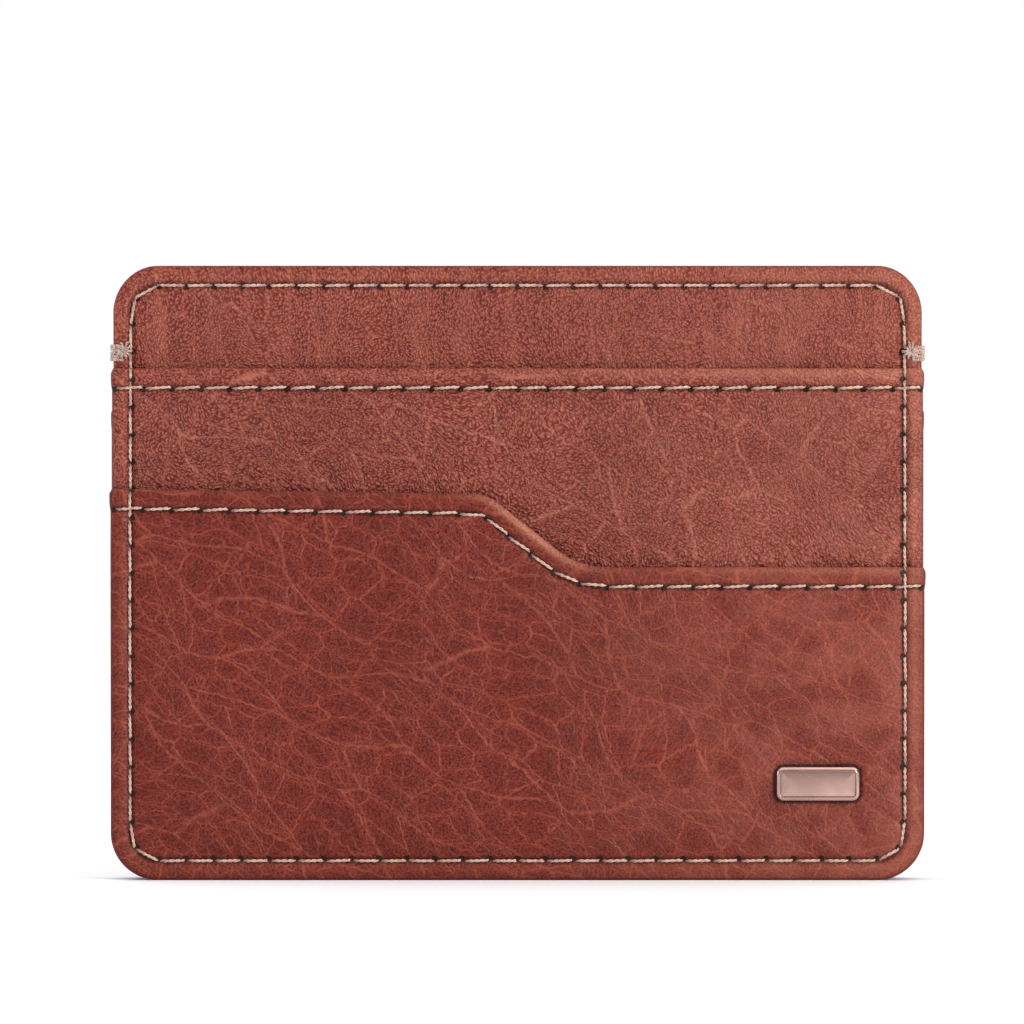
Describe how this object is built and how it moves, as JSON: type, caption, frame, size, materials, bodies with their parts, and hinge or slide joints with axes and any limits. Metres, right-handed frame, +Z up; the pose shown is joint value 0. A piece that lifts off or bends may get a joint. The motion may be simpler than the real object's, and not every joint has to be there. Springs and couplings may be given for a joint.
{
  "type": "card wallet",
  "caption": "Slim stitched leather card wallet with layered front pockets, a waved lower pocket edge, a small metal badge and a bill compartment that opens at the top.",
  "frame": {"origin": "middle of the bottom edge that the upright wallet stands on", "axes": "+Z up towards the open mouth, +X to the right as seen from the front, the front with the waved pocket faces -Y"},
  "size_m": [0.1002, 0.0086, 0.0755],
  "materials": {
    "leather": "red-brown pull-up leather, fine pebbled grain, satin",
    "lining": "dark brown woven lining, matte",
    "board": "grey-brown stiffening board, matte",
    "thread": "cream twisted sewing thread",
    "tack_thread": "taupe twisted sewing thread",
    "badge": "rose-gold plating, polished bevel and satin face",
    "backing": "plain steel"
  },
  "bodies": {
    "root": {"front_panel": "leather", "upper_pocket": "leather", "lower_pocket": "leather", "back_panel": "leather", "back_pocket": "leather", "front_lining": "lining", "upper_pocket_lining": "lining", "lower_pocket_lining": "lining", "back_lining": "lining", "back_pocket_lining": "lining", "front_board": "board", "back_board": "board", "upper_hem_thread": "thread", "lower_hem_thread": "thread", "back_hem_thread": "thread", "front_seam_thread": "thread", "back_seam_thread": "thread", "left_tack": "tack_thread", "right_tack": "tack_thread", "badge_plate": "badge", "badge_backing": "backing"},
    "front_lip": {"front_panel_lip": "leather", "front_lip_lining": "lining", "front_lip_thread": "thread"},
    "back_lip": {"back_panel_lip": "leather", "back_lip_lining": "lining", "back_lip_thread": "thread"}
  },
  "joints": [
    {"name": "front_lip_flex", "type": "hinge", "parent": "root", "child": "front_lip", "pos_m": [0, -0.0006, 0.0662], "axis": [1, 0, 0], "range_deg": [0, 28], "stiffness_Nm_per_rad": 0.002},
    {"name": "back_lip_flex", "type": "hinge", "parent": "root", "child": "back_lip", "pos_m": [0, 0.0021, 0.0662], "axis": [-1, 0, 0], "range_deg": [0, 28], "stiffness_Nm_per_rad": 0.002}
  ]
}
